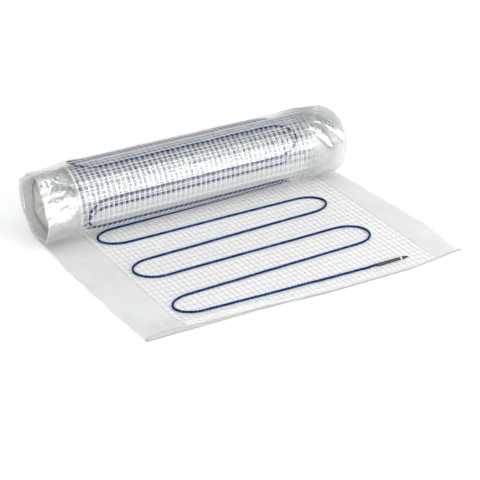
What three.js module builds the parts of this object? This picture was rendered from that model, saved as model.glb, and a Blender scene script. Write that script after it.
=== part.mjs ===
// Underfloor heating mat, part unrolled: a clear carrier film, a glass-fibre
// mesh on it and a heating cable laid in loops on the mesh. The wound part lies
// behind as a roll, and the free end lies flat in front of it as a lead.
// Millimetres, +Z up, +X along the roll, the lead runs out towards -Y.
import * as THREE from 'three';

// Sheets
const MESH_WIDTH = 500;
const MESH_THICKNESS = 0.5;
const FILM_LEFT_MARGIN = 70; // film past the mesh's edges
const FILM_RIGHT_MARGIN = 55;
const FILM_THICKNESS = 0.3;
const LAYER_GAP = 0.2; // between film, mesh and cable

// Roll
const ROLL_RADIUS = 68.7;
const ROLL_RUN_OUT = 20; // how far the roll has run sideways from the lead
const RUN_OUT_START = -60; // along the mat, where it begins to run sideways
const RUN_OUT_END = 200;
const WOUND_TURNS = 8; // turns inside the outermost one
const TURN_GAP = 0.3;
const TURN_EDGE = 0.8; // thickness of a wound turn's film edge past the mesh
const END_STEP = 5; // each turn's film edge stands this far inside the one around it
const BEND_STEP = Math.PI / 36; // facet of a bent sheet
const LATHE_SEGMENTS = 48;

// Heating cable
const CABLE_DIAMETER = 3.5;
const CABLE_SIDES = 8;
const LOOP_LEFT_MARGIN = 13; // from the mesh's edges to the loops' ends
const LOOP_RIGHT_MARGIN = 48;
const TURN_REACH = 45; // length of a loop's rounded end
const TURN_STEPS = 10;
const LEAD_RUNS = 6;
const LEAD_RUN_PITCH = 71.3;
const WOUND_RUN_PITCH = 66.5;
const RUN_AT_ROLL = 25.5; // last run of the lead, from where the roll touches down
const FRONT_MARGIN = 38; // film in front of the first run
const MESH_MARGIN = 36; // mesh in front of the first run
// Each run of the lead was laid by hand, so its left and right end wander.
const RUN_WANDER = [[7, -6], [-1, 8], [6, 9], [4, 13], [8, 6], [-2, 7]];

// Sealed end of the cable
const SLEEVE_FROM_EDGE = 110; // where the sleeve starts, from the mesh's right edge
const SLEEVE_DIAMETER = 6;
const SLEEVE_LENGTH = 50;
const SLEEVE_SOCKET = 12; // length of cable inside the sleeve
const SOCKET_CLEARANCE = 0.3;
const COLLAR_DIAMETER = 5.4;
const COLLAR_LENGTH = 2.6;
const TIP_DIAMETER = 5.6;
const TIP_LENGTH = 15;
const TIP_POINT_DIAMETER = 1.6;
const SEAL_GAP = 0.3; // between the sleeve, the collar and the tip
const SEAL_SIDES = 16;
const CABLE_RISE = 22; // length over which the cable rises into the sleeve

// Heights above the film's underside, in the layers of the mat
const meshBottom = FILM_THICKNESS + LAYER_GAP;
const meshTop = meshBottom + MESH_THICKNESS;
const cableHeight = meshTop + LAYER_GAP + CABLE_DIAMETER / 2;
const layerTop = cableHeight + CABLE_DIAMETER / 2;
const sleeveHeight = meshTop + LAYER_GAP + SLEEVE_DIAMETER / 2;
const turnPitch = layerTop + TURN_GAP;

// Places across the mat, from the mesh's middle
const filmWidth = FILM_LEFT_MARGIN + MESH_WIDTH + FILM_RIGHT_MARGIN;
const filmMiddle = (FILM_RIGHT_MARGIN - FILM_LEFT_MARGIN) / 2;
const loopLeft = LOOP_LEFT_MARGIN - MESH_WIDTH / 2;
const loopRight = MESH_WIDTH / 2 - LOOP_RIGHT_MARGIN;
const sleeveStart = MESH_WIDTH / 2 - SLEEVE_FROM_EDGE;

// Places along the mat: below 0 on the lead, above 0 round the roll
const firstRun = -RUN_AT_ROLL - (LEAD_RUNS - 1) * LEAD_RUN_PITCH;
const filmFront = firstRun - FRONT_MARGIN;
const meshFront = firstRun - MESH_MARGIN;
// The outermost turn ends where it would come down on the lead's cable.
const outerTurnAngle = 2 * Math.PI - Math.acos(1 - (layerTop + TURN_GAP) / ROLL_RADIUS);
const outerTurnEnd = ROLL_RADIUS * outerTurnAngle;

function sideShift(along) {
  const share = THREE.MathUtils.smoothstep(along, RUN_OUT_START, RUN_OUT_END);
  return -ROLL_RUN_OUT * share;
}

// Takes a point of the mat as laid out flat to where it lies.
function onMat(across, along, height) {
  const x = across + sideShift(along);
  if (along <= 0) {
    return new THREE.Vector3(x, along, height);
  }
  const angle = along / ROLL_RADIUS;
  const radius = ROLL_RADIUS - height;
  const y = radius * Math.sin(angle);
  const z = ROLL_RADIUS - radius * Math.cos(angle);
  return new THREE.Vector3(x, y, z);
}

// A sheet from its front edge to the end of the outermost turn.
function bentSheet(width, middle, front, bottom, thickness) {
  const bends = Math.ceil(outerTurnAngle / BEND_STEP);
  const stations = [front, RUN_OUT_START, RUN_OUT_START / 2];
  for (let i = 0; i <= bends; i += 1) {
    stations.push((outerTurnEnd * i) / bends);
  }
  const steps = stations.length - 1;
  const sheet = new THREE.BoxGeometry(width, steps, thickness, 1, steps, 1);
  const place = sheet.attributes.position;
  for (let i = 0; i < place.count; i += 1) {
    const station = Math.round(place.getY(i) + steps / 2);
    const height = bottom + thickness / 2 + place.getZ(i);
    const point = onMat(middle + place.getX(i), stations[station], height);
    place.setXYZ(i, point.x, point.y, point.z);
  }
  return sheet;
}

// Where each run of cable starts and ends along the mat: [left, right].
function runPlaces() {
  const runs = [];
  for (let i = 0; i < LEAD_RUNS; i += 1) {
    const nominal = firstRun + i * LEAD_RUN_PITCH;
    const wander = RUN_WANDER[i % RUN_WANDER.length];
    runs.push([nominal + wander[0], nominal + wander[1]]);
  }
  const lastRoom = outerTurnEnd - CABLE_DIAMETER;
  for (let s = WOUND_RUN_PITCH - RUN_AT_ROLL; s < lastRoom; s += WOUND_RUN_PITCH) {
    runs.push([s, s]);
  }
  return runs;
}

// The rounded end of a loop, from one run to the next: half an ellipse.
function loopEnd(fromAlong, toAlong, side) {
  const middle = (fromAlong + toAlong) / 2;
  const half = (toAlong - fromAlong) / 2;
  const tip = side < 0 ? loopLeft : loopRight;
  const root = tip - side * TURN_REACH;
  const bend = [];
  for (let i = 0; i <= TURN_STEPS; i += 1) {
    const angle = (Math.PI * i) / TURN_STEPS;
    const across = root + side * TURN_REACH * Math.sin(angle);
    bend.push([across, middle - half * Math.cos(angle)]);
  }
  return bend;
}

// The cable's middle line, from inside the sleeve to the end of the outermost turn.
function cableStations() {
  const runs = runPlaces();
  const sleeveAlong = runs[0][1];
  const line = [
    onMat(sleeveStart + SLEEVE_SOCKET - SEAL_GAP, sleeveAlong, sleeveHeight),
    onMat(sleeveStart, sleeveAlong, sleeveHeight),
    onMat(sleeveStart - CABLE_RISE, sleeveAlong, cableHeight),
  ];
  let side = -1;
  for (let i = 0; i < runs.length; i += 1) {
    const end = side < 0 ? 0 : 1;
    const next = i + 1 < runs.length ? runs[i + 1][end] : runs[i][end] + WOUND_RUN_PITCH;
    for (const [across, along] of loopEnd(runs[i][end], next, side)) {
      if (along < outerTurnEnd - CABLE_DIAMETER) {
        line.push(onMat(across, along, cableHeight));
      }
    }
    side = -side;
  }
  return line;
}

// A curve whose steps are its own stations, so that straight runs stay one step.
class StationCurve extends THREE.Curve {
  constructor(stations) {
    super();
    this.stations = stations;
  }

  getPoint(t, target = new THREE.Vector3()) {
    const last = this.stations.length - 1;
    const place = THREE.MathUtils.clamp(t, 0, 1) * last;
    const index = Math.min(Math.floor(place), last - 1);
    return target.lerpVectors(this.stations[index], this.stations[index + 1], place - index);
  }

  getUtoTmapping(u) {
    return u;
  }
}

function cableTube(stations) {
  const section = new THREE.Shape();
  for (let i = 0; i < CABLE_SIDES; i += 1) {
    const angle = (2 * Math.PI * (i + 0.5)) / CABLE_SIDES;
    const u = (CABLE_DIAMETER / 2) * Math.cos(angle);
    const v = (CABLE_DIAMETER / 2) * Math.sin(angle);
    if (i === 0) {
      section.moveTo(u, v);
    } else {
      section.lineTo(u, v);
    }
  }
  section.closePath();
  return new THREE.ExtrudeGeometry(section, {
    steps: stations.length - 1,
    extrudePath: new StationCurve(stations),
  });
}

// A body turned about X. The outline is [radius, place along X], and is closed.
function turnedAlongX(outline, segments) {
  const points = outline.map(([radius, along]) => new THREE.Vector2(radius, along));
  points.push(points[0].clone());
  const body = new THREE.LatheGeometry(points, segments);
  body.rotateZ(-Math.PI / 2);
  return body;
}

// One end of the wound turns: the film edge of each turn stands out past the mesh.
function turnEdges(side) {
  const meshEnd = (side * MESH_WIDTH) / 2;
  const outline = [];
  for (let turn = 0; turn < WOUND_TURNS; turn += 1) {
    const outer = ROLL_RADIUS - (turn + 1) * turnPitch;
    const filmEnd = filmMiddle + side * (filmWidth / 2 - (turn + 1) * END_STEP);
    outline.push([outer, filmEnd], [outer - TURN_EDGE, filmEnd]);
    outline.push([outer - TURN_EDGE, meshEnd], [outer - turnPitch, meshEnd]);
  }
  return outline;
}

// The turns inside the outermost one, as one body with the bore.
function woundTurns() {
  return turnedAlongX([...turnEdges(-1).reverse(), ...turnEdges(1)], LATHE_SEGMENTS);
}

function sealSleeve() {
  const outer = SLEEVE_DIAMETER / 2;
  const socket = CABLE_DIAMETER / 2 + SOCKET_CLEARANCE;
  return turnedAlongX([
    [socket, 0],
    [outer, 0],
    [outer, SLEEVE_LENGTH],
    [0, SLEEVE_LENGTH],
    [0, SLEEVE_SOCKET],
    [socket, SLEEVE_SOCKET],
  ], SEAL_SIDES);
}

function sealCollar() {
  const radius = COLLAR_DIAMETER / 2;
  return turnedAlongX([
    [0, 0],
    [radius, 0],
    [radius, COLLAR_LENGTH],
    [0, COLLAR_LENGTH],
  ], SEAL_SIDES);
}

function sealTip() {
  const shoulder = TIP_LENGTH / 3;
  return turnedAlongX([
    [0, 0],
    [TIP_DIAMETER / 2, 0],
    [TIP_DIAMETER / 2, shoulder],
    [TIP_POINT_DIAMETER / 2, TIP_LENGTH],
    [0, TIP_LENGTH],
  ], SEAL_SIDES);
}

function material(color, roughness, opacity = 1) {
  return new THREE.MeshStandardMaterial({
    color,
    roughness,
    metalness: 0,
    opacity,
    transparent: opacity < 1,
  });
}

const filmMaterial = material(0xe4e7e6, 0.18, 0.5);
const meshMaterial = material(0xeff0ec, 0.75);
const turnsMaterial = material(0xd3d7d5, 0.35);
const cableMaterial = material(0x17407c, 0.45);
const sealMaterial = material(0x0b0b0c, 0.5);
const collarMaterial = material(0xe8eaea, 0.45);

const mat = new THREE.Group();

function addPiece(name, geometry, finish, place = [0, 0, 0]) {
  const piece = new THREE.Mesh(geometry, finish);
  piece.name = name;
  piece.position.set(...place);
  mat.add(piece);
  return piece;
}

const film = bentSheet(filmWidth, filmMiddle, filmFront, 0, FILM_THICKNESS);
addPiece('carrier_film', film, filmMaterial);
const mesh = bentSheet(MESH_WIDTH, 0, meshFront, meshBottom, MESH_THICKNESS);
addPiece('fibre_mesh', mesh, meshMaterial);
addPiece('heating_cable', cableTube(cableStations()), cableMaterial);
addPiece('wound_turns', woundTurns(), turnsMaterial, [-ROLL_RUN_OUT, 0, ROLL_RADIUS]);

const sleeveAlong = runPlaces()[0][1];
const collarStart = sleeveStart + SLEEVE_LENGTH + SEAL_GAP;
const tipStart = collarStart + COLLAR_LENGTH + SEAL_GAP;
addPiece('end_sleeve', sealSleeve(), sealMaterial, [sleeveStart, sleeveAlong, sleeveHeight]);
addPiece('end_collar', sealCollar(), collarMaterial, [collarStart, sleeveAlong, sleeveHeight]);
addPiece('end_tip', sealTip(), sealMaterial, [tipStart, sleeveAlong, sleeveHeight]);

// The origin is the middle of the whole mat's footprint, on the floor.
const bounds = new THREE.Box3().setFromObject(mat);
const middle = bounds.getCenter(new THREE.Vector3());
mat.position.set(-middle.x, -middle.y, -bounds.min.z);

export default mat;
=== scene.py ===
# Looks of an underfloor heating mat, part unrolled: a clear film, an open white
# scrim and a blue heating cable, laid out flat in front and wound up behind.
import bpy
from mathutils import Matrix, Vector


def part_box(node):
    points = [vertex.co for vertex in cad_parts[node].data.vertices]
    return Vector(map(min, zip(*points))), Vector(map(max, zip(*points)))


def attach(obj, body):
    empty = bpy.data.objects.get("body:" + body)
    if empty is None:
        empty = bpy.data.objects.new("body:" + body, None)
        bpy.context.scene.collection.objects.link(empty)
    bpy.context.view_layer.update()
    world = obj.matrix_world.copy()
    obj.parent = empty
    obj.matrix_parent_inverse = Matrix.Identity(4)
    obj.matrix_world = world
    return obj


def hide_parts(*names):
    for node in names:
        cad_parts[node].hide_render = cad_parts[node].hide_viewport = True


bl_info = {
    "name": "Underfloor heating mat",
    "version": (1, 0, 0),
    "blender": (4, 5, 0),
    "location": "3D View > Sidebar > Heating mat",
    "description": "Dresses an underfloor heating mat that is part unrolled",
    "category": "Object",
}

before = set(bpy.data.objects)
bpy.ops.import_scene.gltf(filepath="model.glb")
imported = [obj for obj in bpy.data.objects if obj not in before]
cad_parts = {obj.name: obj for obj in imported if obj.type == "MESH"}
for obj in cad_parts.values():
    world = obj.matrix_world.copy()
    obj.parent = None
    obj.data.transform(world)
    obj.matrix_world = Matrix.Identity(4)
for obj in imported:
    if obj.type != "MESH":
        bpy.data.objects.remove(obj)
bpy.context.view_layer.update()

import math

import bmesh
import bpy
from bpy.props import FloatProperty, FloatVectorProperty, IntProperty, PointerProperty
from mathutils import Vector, noise

MM = 0.001
X_AXIS = (1.0, 0.0, 0.0)
FULL_TURN = 2 * math.pi
FILM_MATERIAL = "film_plastic"

# The frame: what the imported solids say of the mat
film_low, film_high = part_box("carrier_film")
mesh_low, mesh_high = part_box("fibre_mesh")
turns_low, turns_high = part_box("wound_turns")
sleeve_low, sleeve_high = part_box("end_sleeve")
collar_low, collar_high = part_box("end_collar")
tip_low, tip_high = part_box("end_tip")

MESH_WIDTH = 500 * MM
ROLL_RADIUS = (film_high.z - film_low.z) / 2
ROLL_AXIS_Y = film_high.y - ROLL_RADIUS
ROLL_RUN_OUT = (mesh_high.x - mesh_low.x) - MESH_WIDTH
RUN_OUT_START = -60 * MM
RUN_OUT_END = 200 * MM
LEAD_MIDDLE_X = mesh_high.x - MESH_WIDTH / 2
ROLL_MIDDLE_X = LEAD_MIDDLE_X - ROLL_RUN_OUT
INNER_RADIUS = (turns_high.z - turns_low.z) / 2
TURN_PITCH = ROLL_RADIUS - INNER_RADIUS
TURNS_TO_BORE = 9
LAST_ANGLE = math.radians(337)
TURN_END = ROLL_RADIUS * LAST_ANGLE

# Layers of the mat: heights over the film's underside, the cable's at its middle
FILM_THICKNESS = 0.3 * MM
MESH_HEIGHT = 0.48 * MM
CABLE_DIAMETER = 4.2 * MM
CABLE_HEIGHT = 2.95 * MM

# Outlines in the mat's own plane: (along, across) pairs. Along is below 0 on the
# lead and above 0 round the roll, and across is measured from the mesh's middle.
FILM_LEFT = ((-424, -324), (-300, -330), (-120, -333), (0, -326), (120, -317), (460, -315))
FILM_RIGHT = ((-424, 307), (-400, 301), (-300, 312), (-150, 302), (0, 293), (120, 304), (460, 306))
EDGE_WANDER = 2 * MM
# Front edge: (across, along) pairs
FILM_FRONT = ((-330, -413), (-100, -414), (20, -424), (200, -425), (310, -413))
# How high the front edge curls up: (across, height) pairs
FRONT_CURL = (
    (-326, 1.5), (-305, 6.0), (-282, 9.0), (-250, 6.5), (-235, 5.0), (-190, 4.0), (-118, 1.8),
    (60, 1.0), (150, 1.2), (230, 2.0), (310, 2.5),
)
# How far back from the front edge its lip and its curl reach
LIP_DEPTH = 2.5 * MM
CREST_END = 60 * MM

# The flat lead: from where it stands free of the floor, and how far
FREE_BEFORE_ROLL = (5 * MM, 90 * MM)
FREE_AT_LEFT = (200 * MM, 290 * MM)
FREE_AT_RIGHT = (210 * MM, 290 * MM)
LEAD_GAP = 0.3 * MM
BROAD_WAVE = 2.2 * MM
FINE_WAVE = 0.9 * MM

# The outermost turn: its lumps, and the stretches at its two ends without them
ROLL_LUMP = 0.5 * MM
ROLL_RIPPLE = 0.25 * MM
SMOOTH_START = 40 * MM
SMOOTH_END = 30 * MM

# Open ends of the roll: (degrees from the bottom round by the back, radius) pairs
LEFT_RIM = (
    (20, 68), (65, 70.5), (102, 71), (148, 59), (180, 69), (200, 66),
    (234, 55), (262, 55), (282, 65), (321, 71), (345, 68), (380, 68),
)
RIGHT_RIM = (
    (20, 68), (100, 69), (128, 68), (165, 61), (190, 61), (218, 69),
    (252, 72), (297, 67), (331, 66), (380, 68),
)
# How far out the film past the mesh starts and ends to fall in, and its creases there
LEFT_FALLS_IN = (235 * MM, 316 * MM)
RIGHT_FALLS_IN = (240 * MM, 306 * MM)
END_CREASE = 1.6 * MM
END_LUMP = 2.6 * MM
RIGHT_CREASE_SHARE = 0.45

# Creases of the film's right end that catch the light: (across, along) of both ends
# in mm, and the width
BRIGHT_CREASES = (((264, 248), (300, 298), 11.0), ((243, 264), (270, 308), 9.0))
CREASES_BEGIN = 200 * MM
CREASE_RISE = 1 * MM

# Cable route, as the CAD has it, but for the run behind the roll's top, which comes
# a little earlier
LEAD_RUNS = 6
LEAD_RUN_PITCH = 71.3 * MM
WOUND_RUN_PITCH = 66.5 * MM
RUN_AT_ROLL = 25.5 * MM
RUN_BEHIND_TOP = LEAD_RUNS + 2
BEHIND_TOP_EARLIER = 9 * MM
# How far each run of the lead strays along the mat at its left and right end, in mm
RUN_WANDER = ((7, -6), (-1, 8), (6, 9), (4, 13), (8, 6), (-2, 7))
# Loops: how far out they go, and how long and how finely cut their round ends are
LOOP_LEFT = -237 * MM
LOOP_RIGHT = 202 * MM
TURN_REACH = 45 * MM
TURN_STEPS = 36


def smooth(value, low, high):
    """0 below low, 1 above high, and an even S between them."""
    share = min(max((value - low) / (high - low), 0.0), 1.0)
    return share * share * (3 - 2 * share)


def between(pairs, value):
    """The second number of the pairs at a first number, straight from pair to pair."""
    if value <= pairs[0][0]:
        return pairs[0][1]
    for (low, at_low), (high, at_high) in zip(pairs, pairs[1:]):
        if value <= high:
            share = (value - low) / (high - low)
            return at_low + (at_high - at_low) * share
    return pairs[-1][1]


def soft_noise(x, y, size, seed):
    """Noise from -1 to 1 whose lumps are about as wide as size."""
    return noise.noise(Vector((x / size, y / size, seed)))


def ridges(x, y, size, seed):
    """Sharp folds about as far apart as size, at 1 on their crests."""
    return 1 - abs(soft_noise(x, y, size, seed)) * 2


def side_shift(along):
    """How far the mat runs out to the left on its way round the roll."""
    return -ROLL_RUN_OUT * smooth(along, RUN_OUT_START, RUN_OUT_END)


def film_edges(along):
    """Where the film's wavering left and right edges are across the mat."""
    left = between(FILM_LEFT, along / MM) * MM
    right = between(FILM_RIGHT, along / MM) * MM
    left += EDGE_WANDER * soft_noise(along, 0.0, 35 * MM, 4.0)
    right += EDGE_WANDER * soft_noise(along, 0.3, 25 * MM, 9.0)
    return left, right


def film_front(across):
    """Where the film's front edge is along the mat."""
    return between(FILM_FRONT, across / MM) * MM


def lead_lift(across, along):
    """How far the flat lead stands off the floor."""
    free = smooth(-along, *FREE_BEFORE_ROLL)
    margin = max(smooth(-across, *FREE_AT_LEFT), smooth(across, *FREE_AT_RIGHT))
    broad = 0.5 + 0.5 * soft_noise(across, along * 0.7, 90 * MM, 3.0)
    fine = 0.5 + 0.5 * soft_noise(across * 1.6, along, 36 * MM, 8.0)
    waves = free * (LEAD_GAP + margin * (BROAD_WAVE * broad + FINE_WAVE * fine))
    behind = along - film_front(across)
    curl = between(FRONT_CURL, across / MM) * MM
    curl *= 0.85 + 0.35 * soft_noise(across, 0.0, 16 * MM, 6.0)
    rise = smooth(behind, -0.5 * MM, LIP_DEPTH)
    fall = 1 - smooth(behind, LIP_DEPTH, CREST_END)
    return waves * rise + curl * rise * fall


def rim_radius(rim, angle):
    """The radius of an open end of the roll at an angle."""
    degrees = math.degrees(angle) % 360
    if degrees < rim[0][0]:
        degrees += 360
    return between(rim, degrees) * MM


def fallen_in(across, angle, seed, depth):
    """How far the film past the mesh falls in towards the roll's axis, with creases
    as deep as depth says."""
    reach = smooth(-across, *LEFT_FALLS_IN) + smooth(across, *RIGHT_FALLS_IN)
    if reach <= 0.0:
        return 0.0
    rim = LEFT_RIM if across < 0 else RIGHT_RIM
    dent = (ROLL_RADIUS - rim_radius(rim, angle)) * reach
    round_x = math.cos(angle)
    round_y = math.sin(angle)
    creases = END_CREASE * ridges(round_x + across * 4, round_y, 0.32, seed)
    lumps = END_LUMP * noise.noise(Vector((round_x * 2.2, round_y * 2.2, across * 22 + seed)))
    strength = 1.0 if across < 0 else RIGHT_CREASE_SHARE
    return dent + reach * strength * depth * (creases + lumps)


def bright_crease(across, along):
    """0 to 1 along the creases of the film's right end."""
    if across <= CREASES_BEGIN:
        return 0.0
    here = Vector((across / MM, along / MM))
    found = 0.0
    for start, stop, width in BRIGHT_CREASES:
        start = Vector(start)
        way = Vector(stop) - start
        share = min(max((here - start).dot(way) / way.length_squared, 0.0), 1.0)
        off = (here - start - way * share).length
        wavy = width * (1 + 0.5 * soft_noise(across, along, 9 * MM, 2.0)) * (1.2 - share * 0.5)
        found = max(found, 1 - smooth(off, wavy * 0.7, wavy * 1.3))
    return found


def roll_dent(across, along):
    """How far the outermost turn lies inside its true round."""
    settled = smooth(along, 0.0, SMOOTH_START)
    settled *= 1 - smooth(along, TURN_END - SMOOTH_END, TURN_END)
    lumps = ROLL_LUMP * soft_noise(across, along, 60 * MM, 5.0)
    lumps += ROLL_RIPPLE * soft_noise(across, along * 0.5, 18 * MM, 7.0)
    lumps -= CREASE_RISE * bright_crease(across, along)
    return settled * (lumps + fallen_in(across, along / ROLL_RADIUS, seed=2.0, depth=1.0))


def on_mat(across, along, height):
    """Takes a point of the mat as laid out flat to where it lies."""
    x = LEAD_MIDDLE_X + across + side_shift(along)
    if along <= 0:
        return Vector((x, ROLL_AXIS_Y + along, height + lead_lift(across, along)))
    angle = along / ROLL_RADIUS
    radius = ROLL_RADIUS - height - roll_dent(across, along)
    y = ROLL_AXIS_Y + radius * math.sin(angle)
    return Vector((x, y, ROLL_RADIUS - radius * math.cos(angle)))


def on_turn(across, angle, radius):
    """A point on a wound turn, at an angle from the bottom round by the back."""
    y = ROLL_AXIS_Y + radius * math.sin(angle)
    return Vector((ROLL_MIDDLE_X + across, y, ROLL_RADIUS - radius * math.cos(angle)))


def finish_piece(name, bm, node, material, smooth_faces=True):
    """Makes the bmesh a piece that rides on the mat and stands for a node."""
    mesh = bpy.data.meshes.new(name)
    bm.to_mesh(mesh)
    bm.free()
    if smooth_faces:
        mesh.polygons.foreach_set("use_smooth", [True] * len(mesh.polygons))
    mesh.materials.append(material)
    piece = bpy.data.objects.new(name, mesh)
    bpy.context.scene.collection.objects.link(piece)
    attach(piece, "root")
    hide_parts(node)
    return piece


def thicken(piece, offset):
    """Gives a film its thickness, outwards or inwards."""
    solidify = piece.modifiers.new("Thickness", "SOLIDIFY")
    solidify.thickness = FILM_THICKNESS
    solidify.offset = offset


def bent_grid(bm, columns, rows, place, size):
    """A grid whose points go from (0, 0) to (1, 1), moved by place. Its UV map is in
    metres, size wide and long. Returns its points with their first places."""
    start = len(bm.verts)
    if not bm.loops.layers.uv:
        bm.loops.layers.uv.new("UVMap")
    bmesh.ops.create_grid(bm, x_segments=columns, y_segments=rows, size=0.5, calc_uvs=True)
    bm.verts.ensure_lookup_table()
    points = [(vert, vert.co.x + 0.5, vert.co.y + 0.5) for vert in bm.verts[start:]]
    layer = bm.loops.layers.uv.active
    made = {face for vert, u, v in points for face in vert.link_faces}
    for face in made:
        for loop in face.loops:
            loop[layer].uv = (loop[layer].uv.x * size[0], loop[layer].uv.y * size[1])
    for vert, u, v in points:
        vert.co = place(u, v)
    return points


def film_layers(bm):
    """The film's own values for its material, by name."""
    names = ("haze", "under_mesh", "matte", "wound", "crumple")
    for name in names:
        bm.verts.layers.float.new(name)
    return {name: bm.verts.layers.float[name] for name in names}


def close_up(bm, reach=0.001 * MM, ends=False):
    """Joins points that lie on each other, fills open ends if asked, and turns the
    faces outwards."""
    bmesh.ops.remove_doubles(bm, verts=bm.verts, dist=reach)
    if ends:
        open_edges = [edge for edge in bm.edges if edge.is_boundary]
        bmesh.ops.holes_fill(bm, edges=open_edges, sides=0)
    bmesh.ops.recalc_face_normals(bm, faces=bm.faces)


def tube(bm, line, radius, sides):
    """A closed tube along a line of (place, normal) pairs."""
    full_length = sum((after[0] - before[0]).length for before, after in zip(line, line[1:]))
    last = len(line) - 1
    frames = []
    for i, (place, normal) in enumerate(line):
        ahead = line[min(i + 1, last)][0] - line[max(i - 1, 0)][0]
        aside = ahead.cross(normal).normalized()
        frames.append((place, aside.cross(ahead).normalized(), aside))

    def place_on_tube(u, v):
        centre, up, aside = frames[round(v * last)]
        angle = FULL_TURN * u
        return centre + radius * (math.cos(angle) * up + math.sin(angle) * aside)

    bent_grid(bm, sides, last, place_on_tube, (FULL_TURN * radius, full_length))
    close_up(bm, ends=True)


def turn_round(bm, places, centre, steps, closed=False):
    """Turns a line through the places once round an axis along X."""
    profile = [bm.verts.new(place) for place in places]
    pairs = list(zip(profile, profile[1:]))
    if closed:
        pairs.append((profile[-1], profile[0]))
    edges = [bm.edges.new(pair) for pair in pairs]
    bmesh.ops.spin(
        bm, geom=profile + edges, cent=centre, axis=X_AXIS,
        angle=FULL_TURN, steps=steps, use_merge=True,
    )


def strand_template(cuts):
    """A unit bar along X, cut across so that it can bend."""
    bm = bmesh.new()
    bmesh.ops.create_cube(bm, size=1.0)
    long_edges = [e for e in bm.edges if abs(e.verts[0].co.x - e.verts[1].co.x) > 0.5]
    bmesh.ops.subdivide_edges(bm, edges=long_edges, cuts=cuts, use_grid_fill=True)
    template = bpy.data.meshes.new("strand")
    bm.to_mesh(template)
    bm.free()
    return template


def add_strand(bm, template, place):
    """Adds the template, each point moved by place(share of the length, side, level)."""
    start = len(bm.verts)
    bm.from_mesh(template)
    bm.verts.ensure_lookup_table()
    for vert in bm.verts[start:]:
        vert.co = place(vert.co.x + 0.5, vert.co.y, vert.co.z)


# Materials

# Where most of a noise's values lie
NOISE_RANGE = (0.3, 0.7)


class Graph:
    """A material of one colour, and short ways to add nodes to it."""

    def __init__(self, name, color, roughness):
        self.material = bpy.data.materials.new(name)
        self.material.use_nodes = True
        self.tree = self.material.node_tree
        self.shader = self.tree.nodes["Principled BSDF"]
        self.surface("Base Color", (*color, 1.0))
        self.surface("Roughness", roughness)

    def fill(self, node, socket, value):
        """Links a node's input where the value is a socket, and sets it otherwise."""
        if isinstance(value, bpy.types.NodeSocket):
            self.tree.links.new(value, node.inputs[socket])
        else:
            node.inputs[socket].default_value = value

    def surface(self, socket, value):
        self.fill(self.shader, socket, value)

    def node(self, kind, inputs, **settings):
        made = self.tree.nodes.new(kind)
        for name, value in settings.items():
            setattr(made, name, value)
        for socket, value in inputs.items():
            self.fill(made, socket, value)
        return made

    def coordinates(self, source, scale=(1.0, 1.0, 1.0)):
        """Object or UV coordinates in metres, times scale."""
        texture = self.node("ShaderNodeTexCoord", {})
        inputs = {"Vector": texture.outputs[source], "Scale": scale}
        return self.node("ShaderNodeMapping", inputs).outputs["Vector"]

    def split(self, vector):
        """A vector's three numbers."""
        return self.node("ShaderNodeSeparateXYZ", {0: vector}).outputs

    def noise(self, vector, scale, detail=3.0, roughness=0.5):
        inputs = {"Vector": vector, "Scale": scale, "Detail": detail, "Roughness": roughness}
        return self.node("ShaderNodeTexNoise", inputs).outputs["Fac"]

    def spread(self, value, low, high, to_low=0.0, to_high=1.0):
        """Takes low to high to another range, and holds what is past its ends."""
        inputs = {0: value, 1: low, 2: high, 3: to_low, 4: to_high}
        return self.node("ShaderNodeMapRange", inputs).outputs[0]

    def math(self, operation, first, second=0.0):
        return self.node("ShaderNodeMath", {0: first, 1: second}, operation=operation).outputs[0]

    def mix_color(self, share, first, second):
        """The first colour, or at a share of 1 the second."""
        inputs = {0: share}
        for socket, color in ((6, first), (7, second)):
            linked = isinstance(color, bpy.types.NodeSocket)
            inputs[socket] = color if linked else (*color, 1.0)
        return self.node("ShaderNodeMix", inputs, data_type="RGBA").outputs[2]

    def attribute(self, name):
        return self.node("ShaderNodeAttribute", {}, attribute_name=name).outputs["Fac"]

    def bump(self, height, strength, distance, before=None):
        """A normal from a height, on top of the normal before it."""
        inputs = {"Height": height, "Strength": strength, "Distance": distance}
        if before is not None:
            inputs["Normal"] = before
        return self.node("ShaderNodeBump", inputs).outputs["Normal"]


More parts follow.
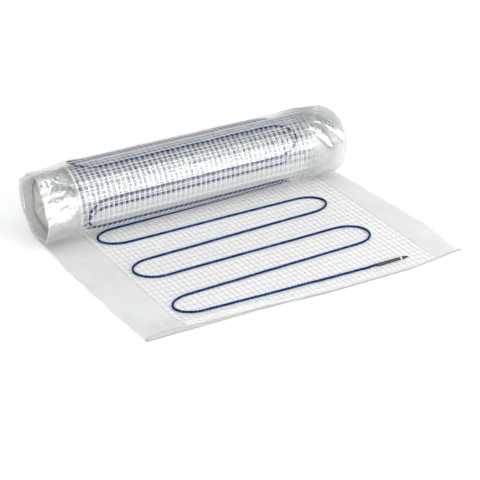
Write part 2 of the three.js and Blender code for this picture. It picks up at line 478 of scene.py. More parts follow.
def film_material(looks):
    """Clear film: soft and cloudy on the lead, glossy and crinkled on the roll."""
    graph = Graph(FILM_MATERIAL, looks.film_color, 0.12)
    flat = graph.coordinates("Object")
    wound = graph.attribute("wound")
    crumpled = graph.attribute("crumple")
    clear = graph.math("MAXIMUM", graph.math("SUBTRACT", wound, crumpled), 0.0)

    cloud = graph.noise(flat, 16.0, 4.0)
    mottled = graph.mix_color(graph.spread(cloud, *NOISE_RANGE), looks.film_shade, looks.film_color)
    whiter = graph.mix_color(graph.attribute("under_mesh"), mottled, looks.film_under_mesh)
    # The matte colour is painted shade on the front lip and the matte grey of the film's right end
    color = graph.mix_color(graph.attribute("matte"), whiter, looks.lip_shade_and_matte_color)
    graph.surface("Base Color", color)
    gloss = graph.spread(wound, 0.0, 1.0, 0.35 * looks.film_gloss, looks.film_gloss)
    graph.surface("Metallic", gloss)

    strokes = graph.noise(graph.coordinates("UV", (240.0, 70.0, 1.0)), 1.0, 3.0, 0.6)
    uneven = graph.spread(strokes, 0.3, 0.75, -0.25, 0.6)
    share = graph.math("ADD", graph.math("MULTIPLY", uneven, clear), 1.0)
    graph.surface("Alpha", graph.math("MULTIPLY", graph.attribute("haze"), share))

    wrinkles = graph.math("MULTIPLY", graph.noise(flat, 24.0, 3.0), wound)
    normal = graph.bump(wrinkles, 0.45, 5 * MM)
    creases = graph.math("MULTIPLY", graph.noise(flat, 38.0, 4.0, 0.65), crumpled)
    normal = graph.bump(creases, 1.0, 4.5 * MM, normal)
    crinkle = graph.noise(graph.coordinates("UV", (135.0, 30.0, 1.0)), 1.0, 3.0, 0.55)
    normal = graph.bump(graph.math("MULTIPLY", crinkle, clear), 1.0, 1.5 * MM, normal)
    graph.surface("Normal", normal)

    smoothness = graph.spread(cloud, *NOISE_RANGE, 0.08, 0.18)
    dulled = graph.math("MULTIPLY", graph.math("SUBTRACT", 1.0, wound), 0.5)
    graph.surface("Roughness", graph.math("ADD", smoothness, dulled))
    return graph.material


def scrim_material(name, shade, color):
    """Glass-fibre strands, with their fine filaments."""
    graph = Graph(name, color, 0.55)
    fibres = graph.noise(graph.coordinates("Object"), 900.0, 2.0)
    mixed = graph.mix_color(graph.spread(fibres, *NOISE_RANGE), shade, color)
    graph.surface("Base Color", mixed)
    graph.surface("Normal", graph.bump(fibres, 0.4, 0.3 * MM))
    return graph.material


def cable_material(looks):
    """Blue jacket with navy flecks that wind round it."""
    graph = Graph("cable_jacket", looks.cable_blue, 0.42)
    graph.surface("Specular IOR Level", 0.04)
    place = graph.split(graph.coordinates("UV", (1.0, 1.0 / looks.fleck_length, 1.0)))
    around = graph.math("MULTIPLY", place[0], 1.0 / (math.pi * CABLE_DIAMETER))
    winding = graph.math("ADD", place[1], around)
    patch = graph.noise(graph.coordinates("UV", (300.0, 260.0, 1.0)), 1.0, 2.0)
    ragged = graph.spread(patch, *NOISE_RANGE, -0.12, 0.12)
    wave = graph.math("ADD", graph.math("FRACT", winding), ragged)
    spots = graph.noise(graph.coordinates("UV", (60.0, 90.0, 1.0)), 1.0, 2.0)
    blue = graph.mix_color(graph.spread(spots, 0.45, 0.7), looks.cable_blue, looks.cable_pale)
    color = graph.mix_color(graph.spread(wave, 0.30, 0.38), blue, looks.cable_navy)
    graph.surface("Base Color", color)
    ribs = graph.math("PINGPONG", winding, 0.5)
    graph.surface("Normal", graph.bump(ribs, 0.6, 0.6 * MM))
    return graph.material


def turns_material(looks):
    """Wound layers seen through the film: dark as painted shade between the deep layers, with dark
    lines, pale cells, and painted light from the floor that makes them lighter low down.
    """
    graph = Graph("wound_layers", looks.turns_color, 0.35)
    lines = graph.noise(graph.coordinates("Object", (6.0, 260.0, 260.0)), 1.0, 3.0)
    cells = graph.noise(graph.coordinates("Object", (95.0, 60.0, 60.0)), 1.0, 2.0)
    banded = graph.mix_color(graph.spread(lines, 0.35, 0.65), looks.turns_shade, looks.turns_color)
    whole = graph.mix_color(graph.spread(cells, 0.45, 0.75), banded, looks.turns_light)
    height = graph.split(graph.coordinates("Object"))[2]
    # Painted light from the floor: lower down, the layers mix towards a paler colour
    low = graph.spread(height, ROLL_RADIUS * 1.2, ROLL_RADIUS * 0.7, 0.0, 0.8)
    graph.surface("Base Color", graph.mix_color(low, whole, looks.turns_low))
    graph.surface("Normal", graph.bump(lines, 0.5, MM))
    return graph.material


def edge_material(looks):
    """Edges of the wound film: creamy at the mouth of the left end, darker on top as painted shade.
    """
    graph = Graph("film_edges", looks.edge_color, 0.2)
    graph.surface("Specular IOR Level", 0.8)
    folds = graph.noise(graph.coordinates("Object", (30.0, 55.0, 55.0)), 1.0, 4.0, 0.6)
    shade = graph.mix_color(graph.spread(folds, *NOISE_RANGE), looks.edge_shade, looks.edge_color)
    place = graph.split(graph.coordinates("Object"))
    mouth = ROLL_MIDDLE_X - 300 * MM
    inside = graph.spread(place[0], mouth, mouth + 12 * MM)
    paler = graph.mix_color(inside, shade, looks.edge_inside)
    # Painted shade: high up, the edges mix towards a dark colour
    high = graph.spread(place[2], ROLL_RADIUS, ROLL_RADIUS * 1.6)
    graph.surface("Base Color", graph.mix_color(high, paler, looks.edge_top))
    graph.surface("Normal", graph.bump(folds, 0.7, 6 * MM))
    return graph.material


def plain_material(name, color, roughness, grain_scale, grain_strength):
    """A plain plastic with fine grain, paler where it is worn."""
    graph = Graph(name, color, roughness)
    grain = graph.noise(graph.coordinates("Object"), grain_scale, 3.0)
    worn = tuple(min(1.0, channel * 1.6 + 0.01) for channel in color)
    mixed = graph.mix_color(graph.spread(grain, 0.45, 0.8), color, worn)
    graph.surface("Base Color", mixed)
    graph.surface("Normal", graph.bump(grain, grain_strength, 0.6 * MM))
    return graph.material


def paint(name, description, default):
    return FloatVectorProperty(
        name=name, description=description, default=default,
        size=3, subtype="COLOR", min=0.0, max=1.0,
    )


def length(name, description, default):
    return FloatProperty(name=name, description=description, default=default, unit="LENGTH")


class HeatingMatSizes(bpy.types.PropertyGroup):
    cell_across: length("Cell width", "Between the strands that run along the mat", 10.5 * MM)
    cell_along: length("Cell length", "Between the strands that run across the mat", 15 * MM)
    strand_width: length("Strand width", "Width of one strand of the scrim", 0.9 * MM)
    strand_thickness: length("Strand thickness", "Thickness of one strand of the scrim", 0.18 * MM)
    turn_count: IntProperty(
        name="Film edges", description="Turns whose film edges show at the roll's ends",
        default=7, min=1, max=12,
    )


class HeatingMatLooks(bpy.types.PropertyGroup):
    film_color: paint("Film", "Clear film over the floor", (0.78, 0.79, 0.775))
    film_shade: paint("Film shade", "Film where it is cloudier", (0.72, 0.73, 0.715))
    film_under_mesh: paint("Film under mesh", "Film under the scrim", (0.88, 0.89, 0.87))
    # Painted shade of the front lip, and the grey of the matte right end
    lip_shade_and_matte_color: paint("Matte film", "Front lip and matte right end", (0.40, 0.405, 0.39))
    film_gloss: FloatProperty(
        name="Film gloss", description="How much of the light the film mirrors",
        default=0.7, min=0.0, max=1.0,
    )
    scrim_white: paint("Scrim on the roll", "Strands over the roll", (0.90, 0.91, 0.88))
    # Scrim on the lead: a darker copy of the white strands, painted shade for their shadows on the
    # film
    scrim_shaded_on_lead: paint("Scrim", "Glass-fibre strands", (0.56, 0.56, 0.53))
    scrim_shade: paint("Scrim shade", "Shade in the strands", (0.46, 0.46, 0.43))
    cable_blue: paint("Cable blue", "Blue of the cable's jacket", (0.001, 0.045, 0.26))
    cable_pale: paint("Cable pale", "Pale flecks of the jacket", (0.02, 0.18, 0.55))
    cable_navy: paint("Cable navy", "Dark flecks of the jacket", (0.0003, 0.0012, 0.014))
    fleck_length: length("Fleck length", "Length of one fleck of the jacket", 6.5 * MM)
    # The wound layers' dark colours are painted shade between the deep layers
    turns_color: paint("Turns", "Wound layers under the film", (0.12, 0.15, 0.185))
    turns_shade: paint("Turns shade", "Shade in the wound layers", (0.010, 0.020, 0.048))
    turns_light: paint("Turns light", "Pale cells of the layers", (0.29, 0.32, 0.345))
    # Painted light from the floor, low down on the roll
    turns_low: paint("Turns low down", "Layers lit from the floor", (0.66, 0.69, 0.68))
    # Painted shade on the top of the roll
    edge_top: paint("Edges high up", "Wound film in shade on top", (0.13, 0.135, 0.14))
    edge_inside: paint("Edges inside", "Wound film behind its edges", (0.62, 0.61, 0.55))
    edge_color: paint("Film edges", "Edges of the wound film", (0.76, 0.76, 0.71))
    edge_shade: paint("Edge shade", "Shade in the wound film's edges", (0.60, 0.60, 0.555))
    seal_color: paint("Seal", "Heat-shrink sleeve and tip", (0.006, 0.006, 0.007))
    collar_color: paint("Collar", "White insulation", (0.75, 0.76, 0.76))
    floor_color: paint("Floor", "Floor under the mat", (0.64, 0.64, 0.64))
    floor_glow: FloatProperty(
        name="Floor glow", description="Light of the backlit studio floor",
        default=0.40, min=0.0,
    )


def runs_of_cable():
    """Where each run starts and ends along the mat, as (left, right)."""
    first = -RUN_AT_ROLL - (LEAD_RUNS - 1) * LEAD_RUN_PITCH
    runs = []
    for i, (left, right) in enumerate(RUN_WANDER):
        nominal = first + i * LEAD_RUN_PITCH
        runs.append((nominal + left * MM, nominal + right * MM))
    place = WOUND_RUN_PITCH - RUN_AT_ROLL
    while place < TURN_END - CABLE_DIAMETER:
        earlier = BEHIND_TOP_EARLIER if len(runs) == RUN_BEHIND_TOP else 0.0
        runs.append((place - earlier, place - earlier))
        place += WOUND_RUN_PITCH
    return runs


def loop_end(start, stop, side):
    """The rounded end of a loop: half an ellipse from one run to the next."""
    root = LOOP_LEFT + TURN_REACH if side < 0 else LOOP_RIGHT - TURN_REACH
    points = []
    for i in range(TURN_STEPS + 1):
        angle = math.pi * i / TURN_STEPS
        across = root + side * TURN_REACH * math.sin(angle)
        points.append((across, (start + stop) / 2 - (stop - start) / 2 * math.cos(angle)))
    return points


def looped_route(runs, limit):
    """The cable's route as (across, along) pairs, run after run, the first loop's end
    at the left."""
    side = -1
    route = []
    for i, run in enumerate(runs):
        end = 0 if side < 0 else 1
        follows = runs[i + 1][end] if i + 1 < len(runs) else run[end] + WOUND_RUN_PITCH
        route += [point for point in loop_end(run[end], follows, side) if point[1] < limit]
        side = -side
    return route


def even_steps(route, step):
    """The same route with its points an even step apart."""
    reached = [0.0]
    for start, stop in zip(route, route[1:]):
        reached.append(reached[-1] + math.dist(start, stop))
    count = round(reached[-1] / step)
    stretch = 0
    points = []
    for i in range(count + 1):
        target = reached[-1] * i / count
        while stretch < len(route) - 2 and reached[stretch + 1] < target:
            stretch += 1
        share = (target - reached[stretch]) / (reached[stretch + 1] - reached[stretch])
        start, stop = route[stretch], route[stretch + 1]
        points.append(tuple(a + (b - a) * share for a, b in zip(start, stop)))
    return points


# The film's grid, with closer rows at its front edge, and the width it was cut to
FILM_COLUMNS = 170
FILM_ROWS = 220
HEM_ROWS = 8
HEM_LENGTH = 8 * MM
FILM_CUT_WIDTH = 0.63

# Where the film's looks change, across or along the mat
TURNS_UP = (-8 * MM, 12 * MM)
LEFT_END = (244 * MM, 280 * MM)
RIGHT_END = (205 * MM, 262 * MM)
BEHIND_TOP = (150 * MM, 190 * MM)
LOW_IN_FRONT = (285 * MM, 345 * MM)

# Haze of the film: the share of light that it stops, or what a place adds to it
HAZE_LEAD = 0.40
HAZE_UNDER_MESH = -0.07
HAZE_LIP = 0.4
HAZE_ROLL = 0.045
HAZE_BACK = 0.04
HAZE_LEFT_END = 0.26
HAZE_LEFT_END_LOW = 0.3
HAZE_RIGHT_END = 0.42


class HEATING_MAT_OT_film(bpy.types.Operator):
    """Lays the clear film of the lead and of the roll's outermost turn"""
    bl_idname = "heating_mat.film"
    bl_label = "Clear film"

    def flat_place(self, u, v):
        """Across and along the mat, with closer rows at the front edge."""
        middle = (u - 0.5) * (FILM_RIGHT[0][1] - FILM_LEFT[0][1]) * MM
        front = film_front(middle)
        row = v * FILM_ROWS
        share = max(row - HEM_ROWS, 0.0) / (FILM_ROWS - HEM_ROWS)
        along = front + min(row / HEM_ROWS, 1.0) * HEM_LENGTH
        along += (TURN_END - front - HEM_LENGTH) * share
        left, right = film_edges(along)
        return left + (right - left) * u, along

    def shade(self, vert, layers, across, along):
        """Sets how hazy, matte and creased the film is at a point, and where the front lip gets its
        painted shade.
        """
        mesh_edge = 0.5 * MESH_WIDTH + 3 * MM * soft_noise(along, across, 12 * MM, 1.0)
        under_mesh = 1 - smooth(abs(across), mesh_edge - 2 * MM, mesh_edge + 2 * MM)
        lip = 1 - smooth(along - film_front(across), LIP_DEPTH, LIP_DEPTH + 2 * MM)
        on_lead = HAZE_LEAD + HAZE_UNDER_MESH * under_mesh + HAZE_LIP * lip
        left_end = smooth(-across, *LEFT_END)
        right_end = smooth(across, *RIGHT_END)
        back = (1 - smooth(along, *BEHIND_TOP)) * (1 - left_end - right_end)
        low = smooth(along, *LOW_IN_FRONT)
        on_roll = HAZE_ROLL + HAZE_BACK * back + HAZE_RIGHT_END * right_end
        on_roll += (HAZE_LEFT_END + HAZE_LEFT_END_LOW * low) * left_end
        bright = bright_crease(across, along)
        matte = right_end * (1 - bright)
        wound = smooth(along, *TURNS_UP)
        vert[layers["haze"]] = (1 - wound) * on_lead + wound * on_roll
        vert[layers["under_mesh"]] = under_mesh * (1 - wound)
        # The front lip takes the matte colour as painted shade; the right end takes the matte
        # film's grey, less of it low in front as painted light from below
        vert[layers["matte"]] = lip + wound * matte * 0.85 * (1 - 0.9 * low)
        vert[layers["wound"]] = wound * (1 - 0.75 * matte)
        vert[layers["crumple"]] = wound * (left_end + 0.8 * bright)

    def execute(self, context):
        cut = (FILM_CUT_WIDTH, TURN_END - film_front(0.0))
        bm = bmesh.new()
        layers = film_layers(bm)
        points = bent_grid(
            bm, FILM_COLUMNS, FILM_ROWS, lambda u, v: on_mat(*self.flat_place(u, v), 0.0), cut
        )
        for vert, u, v in points:
            self.shade(vert, layers, *self.flat_place(u, v))
        material = film_material(context.scene.heating_mat_looks)
        piece = finish_piece("film_sheet", bm, "carrier_film", material)
        thicken(piece, 1.0)
        return {"FINISHED"}


# Scrim: how far its strands stray, weave up and down, and stand out past its sides
STRAY_LENGTHWISE = 0.7 * MM
STRAY_CROSSWISE = 0.8 * MM
WEAVE_HEIGHT = 0.06 * MM
STRAND_ENDS = 3.2 * MM
STRAND_ENDS_VARY = 2 * MM
SECOND_SCRIM_DEPTH = 0.8 * MM

# Bunched strands of the scrim's front edge
BUNCH_STRANDS = 6
BUNCH_CUTS = 70
BUNCH_START = 4 * MM - MESH_WIDTH / 2
BUNCH_END = -40 * MM
BUNCH_BACK = 6 * MM
BUNCH_GAP = 2.6 * MM
BUNCH_STRAY = 3.5 * MM
BUNCH_HEIGHT = 0.25 * MM
BUNCH_RISE = 0.8 * MM


class HEATING_MAT_OT_scrim(bpy.types.Operator):
    """Weaves the glass-fibre scrim of the lead and of the two outer turns"""
    bl_idname = "heating_mat.scrim"
    bl_label = "Glass-fibre scrim"

    def weave(
        self, sizes, name, stretch, place_at, cuts, material,
        node="fibre_mesh", slot="glass_fibre",
    ):
        """Strands both ways over a stretch: (start, stop, first crosswise strand). Cuts
        are those of a lengthwise and of a crosswise strand."""
        start, stop, first_row = stretch
        bm = bmesh.new()
        half = MESH_WIDTH / 2
        width, thick = sizes.strand_width, sizes.strand_thickness
        columns = round(MESH_WIDTH / sizes.cell_across)
        rows = round((stop - start) / sizes.cell_along)
        lengthwise, crosswise = (strand_template(count) for count in cuts)

        for column in range(columns + 1):
            base = -half + MESH_WIDTH * column / columns

            def place(share, side, level):
                along = start + (stop - start) * share
                stray = STRAY_LENGTHWISE * soft_noise(along, base, 50 * MM, column * 0.37)
                wave = math.cos(math.pi * ((along - start) / sizes.cell_along + column))
                height = level * thick + WEAVE_HEIGHT * wave
                return place_at(base + stray + side * width, along, height)

            add_strand(bm, lengthwise, place)
        for row in range(first_row, rows + 1):
            middle = start + (stop - start) * row / rows
            spare = STRAND_ENDS + STRAND_ENDS_VARY * noise.noise(Vector((row * 0.77, 0.0, 0.0)))

            def place(share, side, level):
                across = -half - spare + (MESH_WIDTH + 2 * spare) * share
                stray = STRAY_CROSSWISE * soft_noise(across, middle, 60 * MM, row * 0.53)
                wave = math.cos(math.pi * (across / sizes.cell_across + row))
                height = level * thick - WEAVE_HEIGHT * wave
                return place_at(across, middle + stray + side * width, height)

            add_strand(bm, crosswise, place)
        finish_piece(name, bm, node, material, smooth_faces=False)
        bpy.data.meshes.remove(lengthwise)
        bpy.data.meshes.remove(crosswise)

    def folded_edge(self, sizes, place_at, material):
        """The scrim's front edge, folded and bunched up at the left."""
        bm = bmesh.new()
        template = strand_template(BUNCH_CUTS)
        for strand in range(BUNCH_STRANDS):
            back = MM + BUNCH_GAP * strand

            def place(share, side, level):
                across = BUNCH_START + (BUNCH_END - BUNCH_START) * share * (1 - 0.09 * strand)
                spread = 1 - 0.75 * share
                stray = BUNCH_STRAY * soft_noise(across, back, 18 * MM, strand * 1.7) * spread
                rise = 1 + soft_noise(across, back, 9 * MM, strand * 0.9)
                along = film_front(across) + BUNCH_BACK + back + stray
                height = level * sizes.strand_thickness + BUNCH_HEIGHT + BUNCH_RISE * rise * spread
                return place_at(across, along + side * sizes.strand_width, height)

            add_strand(bm, template, place)
        bpy.data.meshes.remove(template)
        finish_piece(
            "scrim_folded_edge", bm, "fibre_mesh", material, smooth_faces=False
        )

    def execute(self, context):
        sizes = context.scene.heating_mat_sizes
        looks = context.scene.heating_mat_looks
        # The lead's strands are a darker copy of the white scrim, painted shade for their shadows
        # on the film; the roll's strands keep the white
        on_lead = scrim_material("scrim_on_lead", looks.scrim_shade, looks.scrim_shaded_on_lead)
        on_roll = scrim_material("scrim_on_roll", looks.scrim_white, looks.scrim_white)

        def on_outer(across, along, level):
            return on_mat(across, along, MESH_HEIGHT + level)

        def on_second(across, along, level):
            radius = INNER_RADIUS - SECOND_SCRIM_DEPTH - level
            return on_turn(across, along / INNER_RADIUS, radius)

        lead = (film_front(0.0) + 5 * MM, 0.0, 0)
        outer_turn = (0.0, TURN_END - 2 * MM, 1)
        second_turn = (0.0, FULL_TURN * INNER_RADIUS, 1)
        self.weave(sizes, "scrim_lead", lead, on_outer, (48, 56), on_lead)
        self.folded_edge(sizes, on_outer, on_roll)
        self.weave(sizes, "scrim_outer_turn", outer_turn, on_outer, (80, 56), on_roll)
        self.weave(
            sizes, "scrim_second_turn", second_turn, on_second, (64, 24), on_roll,
            "wound_turns", "wound_layers",
        )
        return {"FINISHED"}


# Cable: the steps of its line and its sides on the outermost turn and under it, how
# far it strays, and how it rises to its sleeve
OUTER_STEP = 3.2 * MM
OUTER_SIDES = 14
SECOND_STEP = 5 * MM
SECOND_SIDES = 8
SECOND_RUNS = 6
SECOND_FIRST_RUN = 35 * MM
CABLE_STRAY = 0.7 * MM
CABLE_IN_SLEEVE = 11 * MM
CABLE_STRAIGHT = 25 * MM
CABLE_RISE = 24 * MM
AT_SLEEVE = 3 * MM


class HEATING_MAT_OT_cable(bpy.types.Operator):
    """Lays the heating cable on the lead, the outermost turn and the turn under it"""
    bl_idname = "heating_mat.cable"
    bl_label = "Heating cable"

    def outer_line(self):
        """The cable from its sleeve over the lead and round the outermost turn."""
        sleeve_x = sleeve_low.x - LEAD_MIDDLE_X
        sleeve_along = (sleeve_low.y + sleeve_high.y) / 2 - ROLL_AXIS_Y
        sleeve_height = (sleeve_low.z + sleeve_high.z) / 2
        route = [(sleeve_x + CABLE_IN_SLEEVE, sleeve_along)]
        route += looped_route(runs_of_cable(), TURN_END - CABLE_DIAMETER)
        line = []
        for across, along in even_steps(route, OUTER_STEP):
            stray = CABLE_STRAY * soft_noise(across, along, 32 * MM, 1.5)
            rise = 0.0
            if abs(along - sleeve_along) < AT_SLEEVE:
                rise = smooth(across, sleeve_x - CABLE_RISE, sleeve_x)
                stray = 0.0 if across > sleeve_x - CABLE_STRAIGHT else stray
            height = CABLE_HEIGHT + (sleeve_height - CABLE_HEIGHT) * rise
            here = on_mat(across, along + stray, height)
            above = on_mat(across, along + stray, height + MM)
            line.append((here, (above - here).normalized()))
        return line

    def second_line(self):
        """The cable of the next turn, which shows through the outer layers."""
        girth = FULL_TURN * INNER_RADIUS
        radius = INNER_RADIUS - CABLE_HEIGHT
        runs = [(run * WOUND_RUN_PITCH + SECOND_FIRST_RUN,) * 2 for run in range(SECOND_RUNS)]
        line = []
        for across, along in even_steps(looped_route(runs, girth - CABLE_DIAMETER), SECOND_STEP):
            here = on_turn(across, along / INNER_RADIUS, radius)
            above = on_turn(across, along / INNER_RADIUS, radius - MM)
            line.append((here, (above - here).normalized()))
        return line

    def execute(self, context):
        jacket = cable_material(context.scene.heating_mat_looks)
        second_line = self.second_line()
        jobs = (
            ("cable", self.outer_line(), OUTER_SIDES, "heating_cable", "cable_blue"),
            ("cable_second_turn", second_line, SECOND_SIDES, "wound_turns", "wound_layers"),
        )
        for name, line, sides, node, slot in jobs:
            bm = bmesh.new()
            tube(bm, line, CABLE_DIAMETER / 2, sides)
            finish_piece(name, bm, node, jacket)
        return {"FINISHED"}


# Film of the second turn: its left edge and its width as they lie, its girth and its
# width as cut, and how far out its ends go in
SECOND_FILM_LEFT = -312 * MM
SECOND_FILM_WIDTH = 613 * MM
SECOND_FILM_CUT = (0.4, 0.62)
SECOND_FILM_ENDS = (245 * MM, 310 * MM)
SECOND_FILM_HAZY = (245 * MM, 290 * MM)

# Film edges of the deeper turns: how much of a tucked end goes out before it folds in,
# how far out it goes, and how far out the plain ends go, each a step less than the last
TUCKED_TURNS = (3, 2, 1)
OUT_SHARE = 0.45
TUCKED_REACH = 65 * MM
PLAIN_REACH = 50 * MM
PLAIN_STEP = 5 * MM
PLAIN_START = 3 * MM
TUCKED_CUT = (0.3, 0.1)
PLAIN_CUT = (0.3, 0.06)


class HEATING_MAT_OT_wound_turns(bpy.types.Operator):
    """Builds the wound layers under the outermost turn and the film edges at both ends"""
    bl_idname = "heating_mat.wound_turns"
    bl_label = "Wound turns"

    def core(self, looks):
        """The layers below the second turn, turned with the bore."""
        outer = INNER_RADIUS - TURN_PITCH
        bore = ROLL_RADIUS - TURNS_TO_BORE * TURN_PITCH
        half = MESH_WIDTH / 2 - 2 * MM
        corners = ((-half, bore), (-half, outer), (half, outer), (half, bore))
        places = [
            (ROLL_MIDDLE_X + across, ROLL_AXIS_Y, ROLL_RADIUS - radius)
            for across, radius in corners
        ]
        bm = bmesh.new()
        turn_round(bm, places, (0.0, ROLL_AXIS_Y, ROLL_RADIUS), steps=96, closed=True)
        close_up(bm)
        material = turns_material(looks)
        finish_piece("wound_core", bm, "wound_turns", material, smooth_faces=False)

    def second_film(self, material):
        """The film of the turn under the outermost one, with its collapsed ends."""

        def across_at(v):
            return SECOND_FILM_LEFT + SECOND_FILM_WIDTH * v

        def place(u, v):
            across = across_at(v)
            angle = FULL_TURN * u
            dent = fallen_in(across, angle, seed=6.0, depth=1.3)
            dent += 2 * MM * smooth(abs(across), *SECOND_FILM_ENDS)
            return on_turn(across, angle, INNER_RADIUS - dent)

        bm = bmesh.new()
        layers = film_layers(bm)
        for vert, u, v in bent_grid(bm, 120, 90, place, SECOND_FILM_CUT):
            vert[layers["haze"]] = 0.03 + 0.3 * smooth(abs(across_at(v)), *SECOND_FILM_HAZY)
            vert[layers["wound"]] = 1.0
        close_up(bm)
        piece = finish_piece("film_second_turn", bm, "wound_turns", material)
        thicken(piece, -1.0)

    def tucked_end(self, turn, u, share):
        """Left end: a turn's film goes out past the mesh, then folds in over the bore."""
        angle = FULL_TURN * u
        radius = INNER_RADIUS - turn * TURN_PITCH
        out = min(share / OUT_SHARE, 1.0)
        tuck = max(share - OUT_SHARE, 0.0) / (1 - OUT_SHARE)
        round_x = math.cos(angle)
        round_y = math.sin(angle)
        mouth = (5 + 4 * turn + 4 * noise.noise(Vector((round_x, round_y, turn)))) * MM
        dent = fallen_in(-300 * MM, angle, seed=2.0 + turn, depth=1.2) * out
        dent *= radius / ROLL_RADIUS
        here = (radius - dent) * (1 - tuck) + mouth * tuck
        turned = Vector((round_x * 1.7, round_y * 1.7, turn * 2.3))
        pleats = abs(noise.noise(turned * 1.6)) * 2 - 0.5
        lumps = noise.noise(turned + Vector((0.0, 0.0, tuck * 0.8)))
        depth = (10 + 9 * turn + tuck * (16 + 18 * pleats + 12 * lumps)) * MM
        start = MESH_WIDTH / 2 - (6 + 4 * lumps) * MM
        across = -start - out * max(TUCKED_REACH - depth, 2 * MM * turn)
        return on_turn(across, angle, here)

    def plain_end(self, turn, u, share):
        """Right end: a turn's film goes a little way out past the mesh."""
        angle = FULL_TURN * u
        radius = INNER_RADIUS - turn * TURN_PITCH
        reach = PLAIN_REACH - turn * PLAIN_STEP
        across = MESH_WIDTH / 2 - PLAIN_START + (reach + PLAIN_START) * share
        folds = ridges(math.cos(angle) + turn, math.sin(angle) + across * 5, 0.4, turn * 0.9)
        dent = fallen_in(across, angle, seed=2.0 + turn, depth=1.2) * radius / ROLL_RADIUS
        dent += (3 * share + 1.8 * folds) * share * MM
        return on_turn(across, angle, radius - dent)

    def film_ends(self, sizes, looks):
        """The film edges of the deeper turns, tucked in at the left, plain at the right."""
        bm = bmesh.new()
        for turn in TUCKED_TURNS:
            bent_grid(bm, 120, 20, lambda u, v: self.tucked_end(turn, u, v), TUCKED_CUT)
        for turn in range(1, sizes.turn_count + 1):
            bent_grid(bm, 84, 10, lambda u, v: self.plain_end(turn, u, v), PLAIN_CUT)
        close_up(bm)
        material = edge_material(looks)
        piece = finish_piece("film_turn_edges", bm, "wound_turns", material)
        thicken(piece, -1.0)

    def execute(self, context):
        looks = context.scene.heating_mat_looks
        self.core(looks)
        self.second_film(bpy.data.materials[FILM_MATERIAL])
        self.film_ends(context.scene.heating_mat_sizes, looks)
        return {"FINISHED"}


# Sealed end: (share of the length, share of the radius) pairs
SLEEVE_PROFILE = (
    (0.0, 0.0), (0.0, 0.66), (0.012, 0.8), (0.05, 0.9), (0.12, 0.98),
    *((0.12 + 0.08 * i, 0.97 + 0.03 * (i % 2)) for i in range(1, 11)),
    (0.96, 0.94), (0.985, 0.86), (1.0, 0.72), (1.0, 0.0),
)
COLLAR_PROFILE = ((0.0, 0.0), (0.0, 0.82), (0.2, 0.98), (0.8, 0.98), (1.0, 0.82), (1.0, 0.0))
TIP_PROFILE = (
    (0.0, 0.0), (0.0, 0.8), (0.05, 0.97), (0.2, 1.0), (0.34, 0.93), (0.5, 0.7),
    (0.62, 0.62), (0.74, 0.5), (0.86, 0.34), (0.95, 0.26), (1.0, 0.14), (1.0, 0.0),
)


class HEATING_MAT_OT_sealed_end(bpy.types.Operator):
    """Shrinks the black sleeve, the white collar and the black tip on the cable's end"""
    bl_idname = "heating_mat.sealed_end"
    bl_label = "Sealed end"

    def turned(self, profile, low, high, rumple):
        """A body turned round X that fills a node's box, with a rumpled surface."""
        middle = (low + high) / 2
        radius = (high.z - low.z) / 2
        places = [
            (low.x + (high.x - low.x) * share, middle.y, middle.z + radius * width)
            for share, width in profile
        ]
        bm = bmesh.new()
        turn_round(bm, places, middle, steps=24)
        close_up(bm, 0.01 * MM)
        for vert in bm.verts:
            centre = Vector((vert.co.x, middle.y, middle.z))
            shrunk = 1 + rumple * noise.noise(vert.co * 260)
            vert.co = centre + (vert.co - centre) * shrunk
        return bm

    def execute(self, context):
        looks = context.scene.heating_mat_looks
        seal = plain_material("heat_shrink", looks.seal_color, 0.35, 700.0, 0.4)
        white = plain_material("white_insulation", looks.collar_color, 0.5, 500.0, 0.2)
        sleeve = self.turned(SLEEVE_PROFILE, sleeve_low, sleeve_high, 0.05)
        finish_piece("sleeve", sleeve, "end_sleeve", seal)
        collar = self.turned(COLLAR_PROFILE, collar_low, collar_high, 0.02)
        finish_piece("collar", collar, "end_collar", white)
        tip = self.turned(TIP_PROFILE, tip_low, tip_high, 0.06)
        finish_piece("tip", tip, "end_tip", seal)
        return {"FINISHED"}


# Stage, in metres: (name, place, what it points at, size, how bright its face is)
SOFTBOXES = (
    ("ceiling_softbox", (-1.2, 0.0, 8.0), (-1.2, 0.01, 0.0), (8.0, 8.0), 0.9),
    ("front_softbox", (0.86, -1.39, 1.35), (0.0, 0.17, 0.07), (0.56, 2.7), 5.8),
    ("wide_softbox", (0.4, -3.4, 1.1), (0.0, 0.0, 0.05), (6.0, 2.2), 3.2),
    ("left_softbox", (-2.2, -0.3, 1.0), (-0.3, 0.1, 0.05), (1.2, 1.2), 1.6),
    ("back_softbox", (0.9, 3.2, 1.15), (0.2, 0.2, 0.3), (6.5, 2.3), 1.0),
)
WHITE = (1.0, 1.0, 1.0, 1.0)
STUDIO_AIR = (0.37, 0.39, 0.41, 1.0)
FLOOR_SIZE = 20.0
FLOOR_BELOW = 0.4 * MM
# Light passes this many layers of clear film, one behind the other
CLEAR_LAYERS = 32

# The camera: its place from the roll's middle on the floor, and its tilt and turn
CAMERA_PLACE = (-1349.4 * MM, -2502.1 * MM, 1389.2 * MM)
CAMERA_DOWN = math.radians(27.31)
CAMERA_TURN = math.radians(-30.26)
CAMERA_LENS = 126.1
CAMERA_SENSOR = 36.0


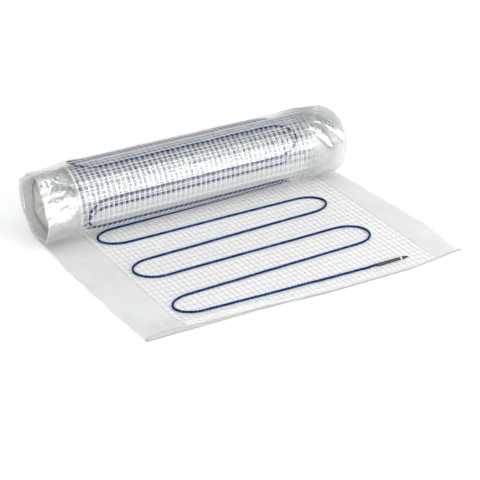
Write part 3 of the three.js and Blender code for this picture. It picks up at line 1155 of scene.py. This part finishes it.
class HEATING_MAT_OT_stage(bpy.types.Operator):
    """Sets the floor, the soft lights and the camera"""
    bl_idname = "heating_mat.stage"
    bl_label = "Stage"

    def floor(self, looks):
        """A pale floor that is lit from below."""
        bm = bmesh.new()
        bmesh.ops.create_grid(bm, x_segments=1, y_segments=1, size=FLOOR_SIZE)
        bmesh.ops.translate(bm, verts=bm.verts, vec=(0.0, 0.0, -FLOOR_BELOW))
        mesh = bpy.data.meshes.new("floor")
        bm.to_mesh(mesh)
        bm.free()
        graph = Graph("floor", looks.floor_color, 0.9)
        graph.surface("Specular IOR Level", 0.0)
        graph.surface("Emission Color", WHITE)
        graph.surface("Emission Strength", looks.floor_glow)
        mesh.materials.append(graph.material)
        floor = bpy.data.objects.new("floor", mesh)
        bpy.context.scene.collection.objects.link(floor)

    def softbox(self, name, place, target, size, brightness):
        """A rectangular area light that points at the target."""
        light = bpy.data.lights.new(name, "AREA")
        light.shape = "RECTANGLE"
        light.size, light.size_y = size
        light.energy = brightness * math.pi * size[0] * size[1]
        lamp = bpy.data.objects.new(name, light)
        lamp.location = place
        lamp.rotation_euler = (Vector(target) - Vector(place)).to_track_quat("-Z", "Y").to_euler()
        bpy.context.scene.collection.objects.link(lamp)

    def camera(self):
        """The photograph's viewpoint."""
        data = bpy.data.cameras.new("camera")
        data.lens = CAMERA_LENS
        data.sensor_width = CAMERA_SENSOR
        camera = bpy.data.objects.new("camera", data)
        camera.location = Vector((ROLL_MIDDLE_X, ROLL_AXIS_Y, 0.0)) + Vector(CAMERA_PLACE)
        camera.rotation_euler = (math.pi / 2 - CAMERA_DOWN, 0.0, CAMERA_TURN)
        bpy.context.scene.collection.objects.link(camera)
        bpy.context.scene.camera = camera

    def execute(self, context):
        scene = context.scene
        self.floor(scene.heating_mat_looks)
        for box in SOFTBOXES:
            self.softbox(*box)
        world = bpy.data.worlds.new("studio")
        world.use_nodes = True
        world.node_tree.nodes["Background"].inputs["Color"].default_value = STUDIO_AIR
        world.node_tree.nodes["Background"].inputs["Strength"].default_value = 1.0
        scene.world = world
        scene.view_settings.view_transform = "Standard"
        scene.cycles.caustics_reflective = False
        scene.cycles.transparent_max_bounces = CLEAR_LAYERS
        self.camera()
        return {"FINISHED"}


class HEATING_MAT_PT_panel(bpy.types.Panel):
    """Lists the mat's pieces and their sizes and colours"""
    bl_label = "Heating mat"
    bl_idname = "HEATING_MAT_PT_panel"
    bl_space_type = "VIEW_3D"
    bl_region_type = "UI"
    bl_category = "Heating mat"

    def draw(self, context):
        for operator in OPERATORS:
            self.layout.operator(operator.bl_idname)
        for group in (context.scene.heating_mat_sizes, context.scene.heating_mat_looks):
            box = self.layout.box()
            for name in group.__annotations__:
                box.prop(group, name)


OPERATORS = (
    HEATING_MAT_OT_stage,
    HEATING_MAT_OT_film,
    HEATING_MAT_OT_scrim,
    HEATING_MAT_OT_cable,
    HEATING_MAT_OT_wound_turns,
    HEATING_MAT_OT_sealed_end,
)
CLASSES = (HeatingMatSizes, HeatingMatLooks, *OPERATORS, HEATING_MAT_PT_panel)


def register():
    for cls in CLASSES:
        bpy.utils.register_class(cls)
    bpy.types.Scene.heating_mat_sizes = PointerProperty(type=HeatingMatSizes)
    bpy.types.Scene.heating_mat_looks = PointerProperty(type=HeatingMatLooks)


def unregister():
    del bpy.types.Scene.heating_mat_looks
    del bpy.types.Scene.heating_mat_sizes
    for cls in reversed(CLASSES):
        bpy.utils.unregister_class(cls)


def main():
    register()
    bpy.ops.heating_mat.stage()
    bpy.ops.heating_mat.film()
    bpy.ops.heating_mat.scrim()
    bpy.ops.heating_mat.cable()
    bpy.ops.heating_mat.wound_turns()
    bpy.ops.heating_mat.sealed_end()


if __name__ == "__main__":
    main()
